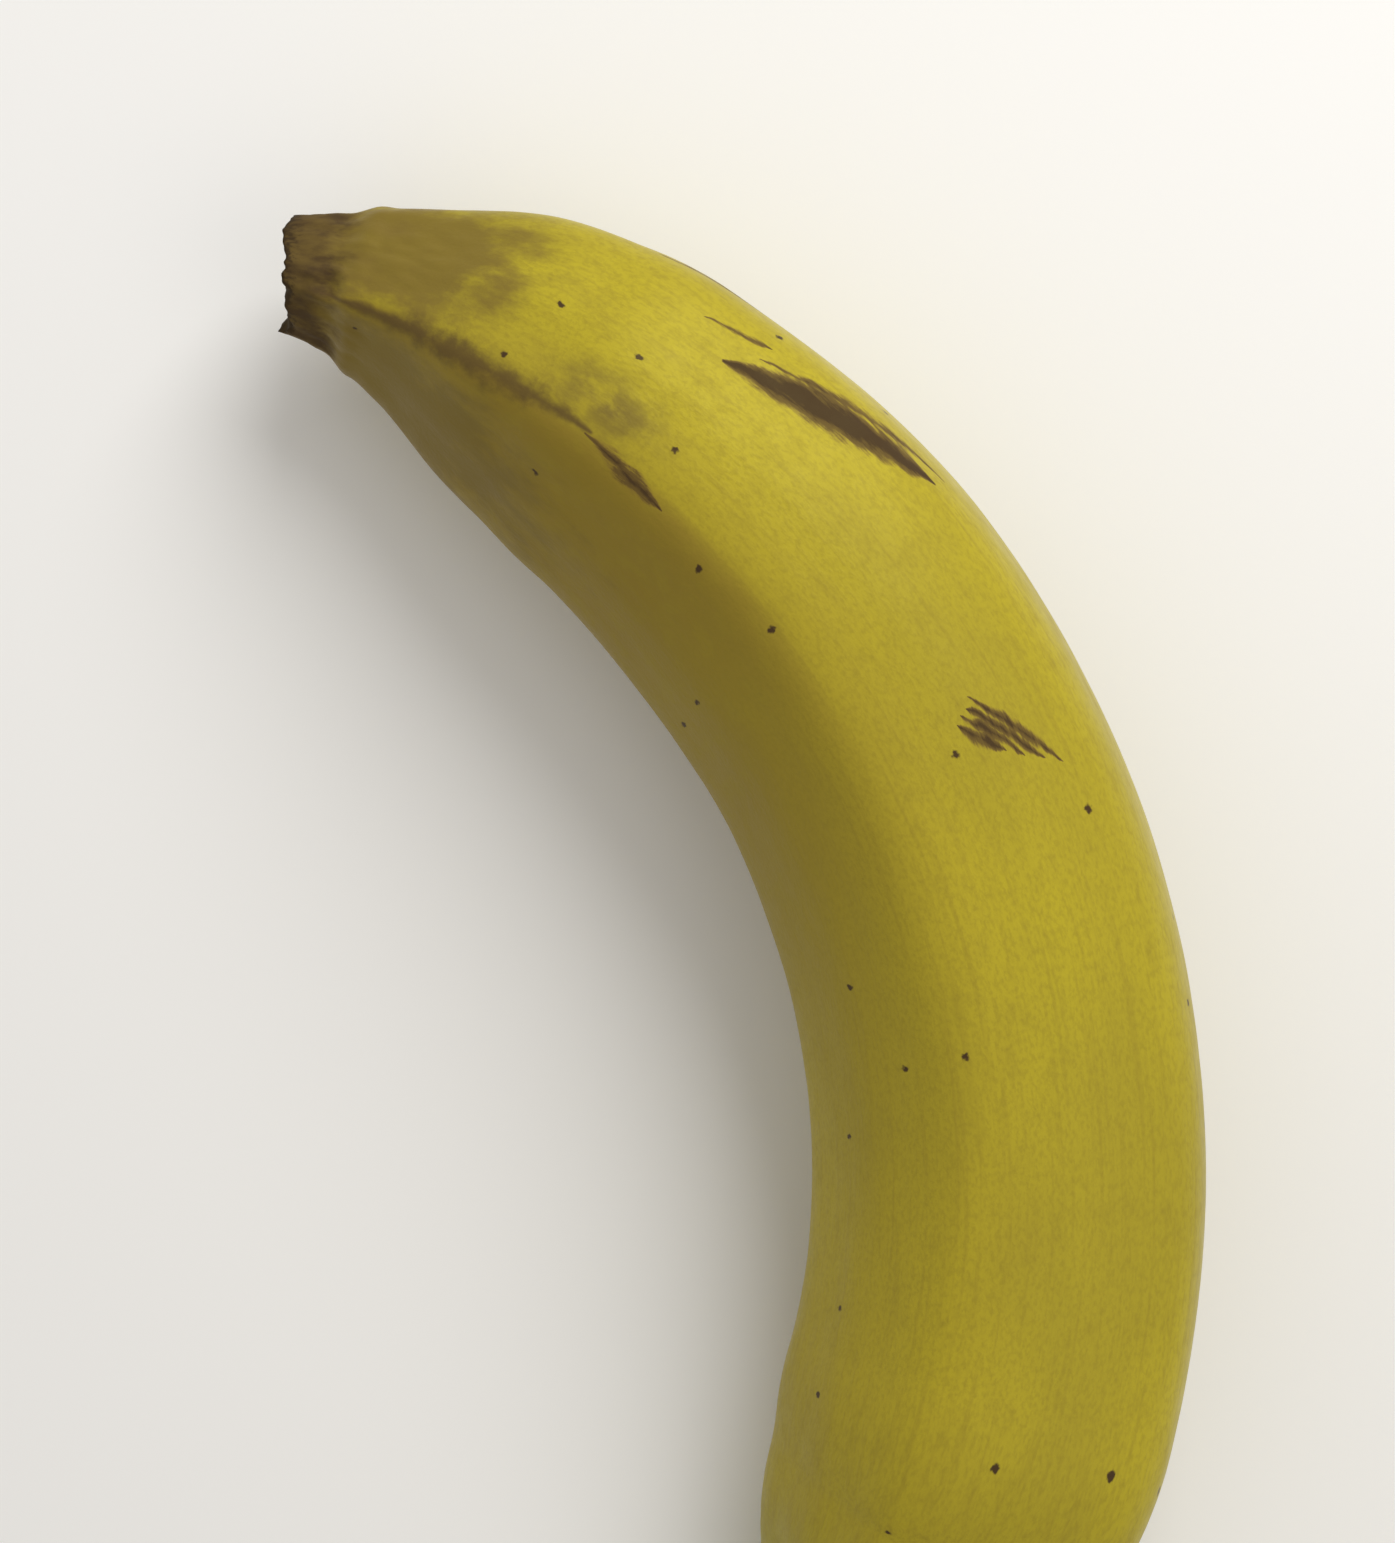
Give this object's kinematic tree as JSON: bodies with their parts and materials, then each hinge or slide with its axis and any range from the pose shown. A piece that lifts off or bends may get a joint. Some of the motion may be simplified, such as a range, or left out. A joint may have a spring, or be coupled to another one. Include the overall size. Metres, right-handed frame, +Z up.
{
  "type": "banana",
  "caption": "Ripe yellow banana with a hooked dark blossom tip, five soft ridges and a short cut stem, lying on its side.",
  "frame": {"origin": "on the resting surface, at the middle of the fruit's bounding box seen from above", "axes": "+X from the blossom tip towards the cut stem, +Y towards the outer side of the curve, +Z up"},
  "size_m": [0.1774, 0.074, 0.0361],
  "materials": {
    "peel": "waxy semi-matt fruit peel, olive yellow with brown bruises and a dark dried tip"
  },
  "bodies": {
    "root": {"banana": "peel"}
  },
  "joints": []
}
